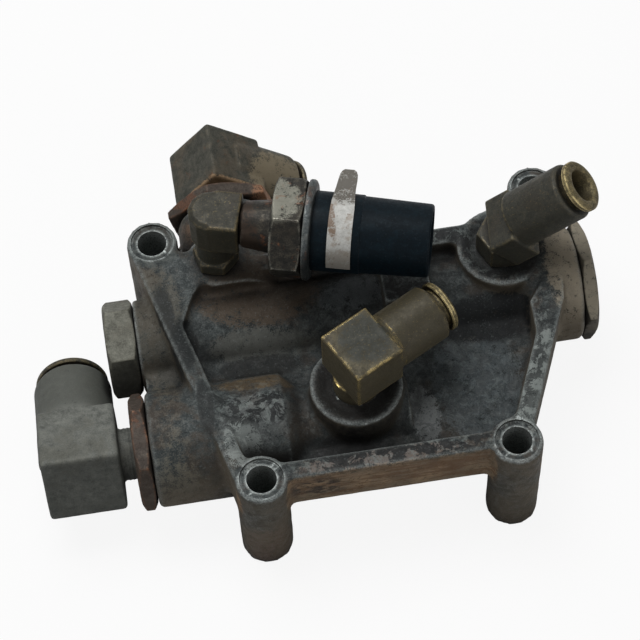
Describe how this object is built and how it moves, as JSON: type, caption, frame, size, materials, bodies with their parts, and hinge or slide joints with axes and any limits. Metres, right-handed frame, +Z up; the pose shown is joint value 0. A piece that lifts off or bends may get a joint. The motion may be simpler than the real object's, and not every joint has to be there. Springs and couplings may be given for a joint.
{
  "type": "tractor protection valve",
  "caption": "Cast tractor protection valve on drilled legs, with lateral piston and port bores, push-to-connect elbows, a stop lamp pressure switch and hex plugs.",
  "frame": {"origin": "midway between the two back bolt holes, on the plane the feet stand on", "axes": "+X along the lateral bores towards the piston cap, +Y towards the back port, +Z up, away from the feet"},
  "size_m": [0.1777, 0.1387, 0.0797],
  "materials": {
    "cast_aluminium": "sand cast, dirty and oxidised",
    "plated_steel": "dull plating under dried dirt",
    "rusted_steel": "surface rust on the edges",
    "grey_fitting": "dull grey, worn at the edges",
    "brass": "dark patina with worn edges",
    "bright_brass": "plain turned",
    "machined_aluminium": "turned",
    "spring_steel": "drawn wire",
    "rubber": "moulded",
    "black_plastic": "moulded, dusty",
    "paper_label": "aged and stained"
  },
  "bodies": {
    "casting": {"angled_elbow": "brass", "angled_tube_seal": "rubber", "angled_tube_support": "bright_brass", "body_casting": "cast_aluminium", "contact_spring": "spring_steel", "front_elbow": "brass", "front_tube_seal": "rubber", "front_tube_support": "bright_brass", "guide_circlip": "spring_steel", "label_strip": "paper_label", "left_plug": "plated_steel", "left_plug_oring": "rubber", "piston_spring": "spring_steel", "poppet_guide": "machined_aluminium", "poppet_spring": "spring_steel", "right_cap": "plated_steel", "right_cap_oring": "rubber", "service_adapter": "rusted_steel", "service_adapter_oring": "rubber", "service_elbow": "grey_fitting", "service_tube_seal": "rubber", "service_tube_support": "bright_brass", "stem_bush": "bright_brass", "stem_oring": "rubber", "supply_adapter": "rusted_steel", "supply_adapter_oring": "rubber", "supply_elbow": "grey_fitting", "supply_tube_seal": "rubber", "supply_tube_support": "bright_brass", "switch_base": "plated_steel", "switch_collar": "plated_steel", "switch_diaphragm": "rubber", "switch_elbow": "brass", "switch_housing": "black_plastic", "switch_terminals": "bright_brass", "valve_seat": "bright_brass"},
    "piston": {"control_piston": "machined_aluminium", "piston_oring": "rubber"},
    "poppet": {"poppet": "bright_brass", "poppet_disc": "rubber"},
    "switch_contact": {"switch_plunger": "black_plastic", "contact_disc": "bright_brass"},
    "supply_collet": {"supply_collet": "brass"},
    "service_collet": {"service_collet": "brass"},
    "front_collet": {"front_collet": "brass"},
    "angled_collet": {"angled_collet": "brass"}
  },
  "joints": [
    {"name": "piston_slide", "type": "slide", "parent": "casting", "child": "piston", "axis": [-1, 0, 0], "range_m": [0, 0.003], "stiffness_N_per_m": 3000, "springref_m": -0.002, "deforming": ["piston_spring"]},
    {"name": "poppet_slide", "type": "slide", "parent": "casting", "child": "poppet", "axis": [-1, 0, 0], "range_m": [0, 0.003], "stiffness_N_per_m": 1500, "springref_m": -0.004, "deforming": ["poppet_spring"]},
    {"name": "switch_slide", "type": "slide", "parent": "casting", "child": "switch_contact", "axis": [0.9613, -0.2756, 0], "range_m": [0, 0.0009], "stiffness_N_per_m": 2000, "springref_m": -0.001, "deforming": ["contact_spring", "switch_diaphragm"]},
    {"name": "supply_collet_slide", "type": "slide", "parent": "casting", "child": "supply_collet", "axis": [0, -0.9397, 0.342], "range_m": [0, 0.0014]},
    {"name": "service_collet_slide", "type": "slide", "parent": "casting", "child": "service_collet", "axis": [-0.766, 0, 0.6428], "range_m": [0, 0.0014]},
    {"name": "front_collet_slide", "type": "slide", "parent": "casting", "child": "front_collet", "axis": [-0.8829, -0.4695, 0], "range_m": [0, 0.0014]},
    {"name": "angled_collet_slide", "type": "slide", "parent": "casting", "child": "angled_collet", "axis": [-0.7273, 0.0764, -0.682], "range_m": [0, 0.0014]}
  ],
  "couplings": [
    {"joint": "poppet_slide", "follows": "piston_slide", "ratio": 1}
  ]
}
